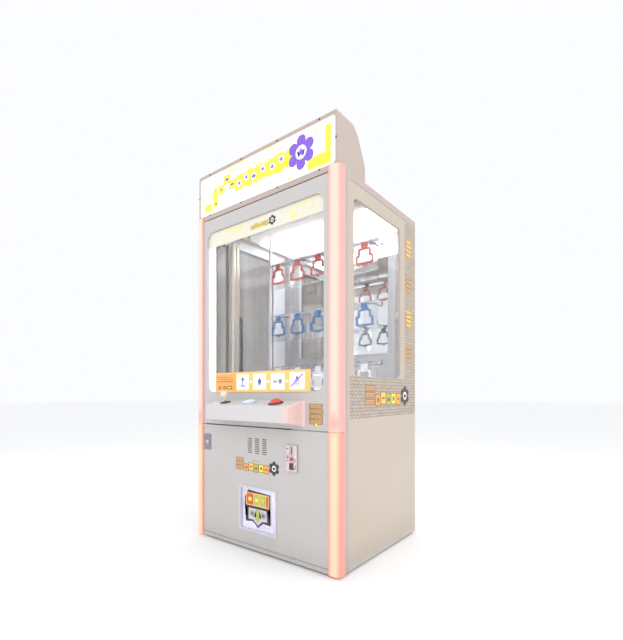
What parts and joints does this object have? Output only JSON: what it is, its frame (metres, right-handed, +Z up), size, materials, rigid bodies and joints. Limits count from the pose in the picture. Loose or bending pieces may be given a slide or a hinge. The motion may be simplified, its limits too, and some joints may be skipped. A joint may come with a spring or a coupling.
{
  "type": "key-push prize machine",
  "caption": "Free-standing prize machine: glazed cabinet on a locker, lit marquee and corner posts, joystick console, and a mast that pushes a key into keyhole targets.",
  "frame": {"origin": "bottom centre of the whole machine's box, on the floor", "axes": "+X to the player's right, +Y from the front towards the back, +Z up"},
  "size_m": [0.944, 0.854, 1.9667],
  "materials": {
    "base_paint": "board with a light grey coat",
    "zinc": "zinc plated",
    "frame_steel": "grey paint",
    "trim_metal": "satin anodised",
    "post_cover": "translucent diffuser over pink light",
    "led_strip": "light strip",
    "roof_paint": "board with a tan coat",
    "side_panel": "board with a warm beige coat and a printed lattice",
    "front_panel": "board with a light grey textured coat",
    "glass": "clear float glass",
    "dark_plastic": "moulded black plastic",
    "print_card": "laminated print",
    "console_plastic": "moulded light grey plastic",
    "white_plastic": "moulded white plastic",
    "steel": "brushed",
    "ball_plastic": "cream moulded ball",
    "red_plastic": "translucent red dome",
    "blue_plastic": "translucent pale blue dome",
    "lock_chrome": "polished",
    "coin_steel": "brushed plate",
    "flap_plastic": "lavender-white printed flap",
    "speaker_black": "paper cone and steel basket",
    "white_sheet": "gloss white sheet",
    "board_green": "circuit board",
    "mirror": "silvered glass",
    "deck_board": "white laminate board",
    "carriage_paint": "machined",
    "mast_gold": "champagne anodised",
    "mast_dark": "black anodised",
    "chain_black": "moulded chain links",
    "key_gold": "polished brass",
    "frame_white": "moulded white",
    "frame_blue": "moulded blue",
    "frame_red": "moulded red",
    "clear_acrylic": "clear acrylic",
    "rack_white": "white paint",
    "hook_black": "black coated wire",
    "light_panel": "lit diffuser",
    "marquee_paint": "tan powder coat",
    "sign_panel": "back-lit printed panel"
  },
  "bodies": {
    "cabinet": {"base_plate": "base_paint", "levelling_feet": "zinc", "uprights": "frame_steel", "corner_trim": "trim_metal", "post_covers_lower": "post_cover", "post_covers_upper": "post_cover", "post_led_strips": "led_strip", "roof_panel": "roof_paint", "upper_side_walls": "side_panel", "lower_side_walls": "front_panel", "side_glass": "glass", "rear_lower_panel": "front_panel", "mains_inlet": "dark_plastic", "pivot_brackets": "zinc", "prize_chute": "white_sheet", "cash_box": "zinc", "power_supply": "zinc", "control_board": "board_green", "deck": "deck_board", "gantry_rails": "trim_metal", "target_frames_bottom": "frame_white", "target_frames_middle": "frame_blue", "target_frames_top": "frame_red", "clear_plates": "clear_acrylic", "rack_frame": "rack_white", "prize_hooks": "hook_black", "interior_lights": "light_panel", "marquee_housing": "marquee_paint", "marquee_sign": "sign_panel", "marquee_screws": "zinc", "marquee_lamps": "light_panel"},
    "upper_door": {"upper_door": "front_panel", "front_glass": "glass", "front_cards": "print_card", "console_shell": "console_plastic", "joystick_base": "dark_plastic", "control_bezels": "dark_plastic"},
    "gimbal": {"joystick_gimbal": "white_plastic"},
    "stick": {"joystick_shaft": "steel", "joystick_ball": "ball_plastic"},
    "red_button": {"red_button": "red_plastic"},
    "blue_button": {"blue_button": "blue_plastic"},
    "lower_door": {"lower_door": "front_panel", "lock_plate": "dark_plastic", "coin_plate": "coin_steel", "coin_mech": "dark_plastic", "prize_bezel": "flap_plastic", "speaker": "speaker_black"},
    "locker_lock": {"locker_lock": "lock_chrome"},
    "coin_return": {"coin_return_button": "red_plastic"},
    "prize_flap": {"prize_flap": "flap_plastic"},
    "rear_door": {"rear_door": "front_panel", "rear_mirror": "mirror"},
    "rear_lock": {"rear_lock": "lock_chrome"},
    "mast": {"mast_shoes": "carriage_paint", "mast_profile": "mast_gold", "mast_guides": "mast_dark", "drag_chain": "chain_black"},
    "carriage": {"key_carriage": "carriage_paint"},
    "pusher": {"key_pusher": "key_gold"}
  },
  "joints": [
    {"name": "upper_door_hinge", "type": "hinge", "parent": "cabinet", "child": "upper_door", "pos_m": [0.41, -0.322, 1.1], "axis": [0, 0, 1], "range_deg": [0, 90]},
    {"name": "lower_door_hinge", "type": "hinge", "parent": "cabinet", "child": "lower_door", "pos_m": [0.41, -0.322, 0.32], "axis": [0, 0, 1], "range_deg": [0, 90]},
    {"name": "rear_door_hinge", "type": "hinge", "parent": "cabinet", "child": "rear_door", "pos_m": [-0.44, 0.418, 1.19], "axis": [0, 0, 1], "range_deg": [0, 90]},
    {"name": "prize_flap_hinge", "type": "hinge", "parent": "lower_door", "child": "prize_flap", "pos_m": [-0.008, -0.3185, 0.305], "axis": [1, 0, 0], "range_deg": [0, 70]},
    {"name": "joystick_fore_aft", "type": "hinge", "parent": "upper_door", "child": "gimbal", "pos_m": [-0.168, -0.38162, 0.70181], "axis": [1, 0, 0], "range_deg": [-10, 10], "stiffness_Nm_per_rad": 0.6},
    {"name": "joystick_left_right", "type": "hinge", "parent": "gimbal", "child": "stick", "pos_m": [-0.168, -0.38162, 0.70181], "axis": [0, 0.9746, 0.2241], "range_deg": [-10, 10], "stiffness_Nm_per_rad": 0.6},
    {"name": "red_button_press", "type": "slide", "parent": "upper_door", "child": "red_button", "axis": [0, 0.2241, -0.9746], "range_m": [0, 0.004], "stiffness_N_per_m": 500},
    {"name": "blue_button_press", "type": "slide", "parent": "upper_door", "child": "blue_button", "axis": [0, 0.2241, -0.9746], "range_m": [0, 0.004], "stiffness_N_per_m": 500},
    {"name": "locker_lock_turn", "type": "hinge", "parent": "lower_door", "child": "locker_lock", "pos_m": [-0.382, -0.317, 0.513], "axis": [0, 1, 0], "range_deg": [-90, 0]},
    {"name": "coin_return_press", "type": "slide", "parent": "lower_door", "child": "coin_return", "axis": [0, 1, 0], "range_m": [0, 0.004], "stiffness_N_per_m": 200},
    {"name": "rear_lock_turn", "type": "hinge", "parent": "rear_door", "child": "rear_lock", "pos_m": [0.37, 0.413, 1.193], "axis": [0, 1, 0], "range_deg": [0, 90]},
    {"name": "mast_slide", "type": "slide", "parent": "cabinet", "child": "mast", "axis": [1, 0, 0], "range_m": [0, 0.67795]},
    {"name": "key_lift", "type": "slide", "parent": "mast", "child": "carriage", "axis": [0, 0, 1], "range_m": [0, 0.6]},
    {"name": "key_push", "type": "slide", "parent": "carriage", "child": "pusher", "axis": [0, 1, 0], "range_m": [0, 0.1]}
  ]
}
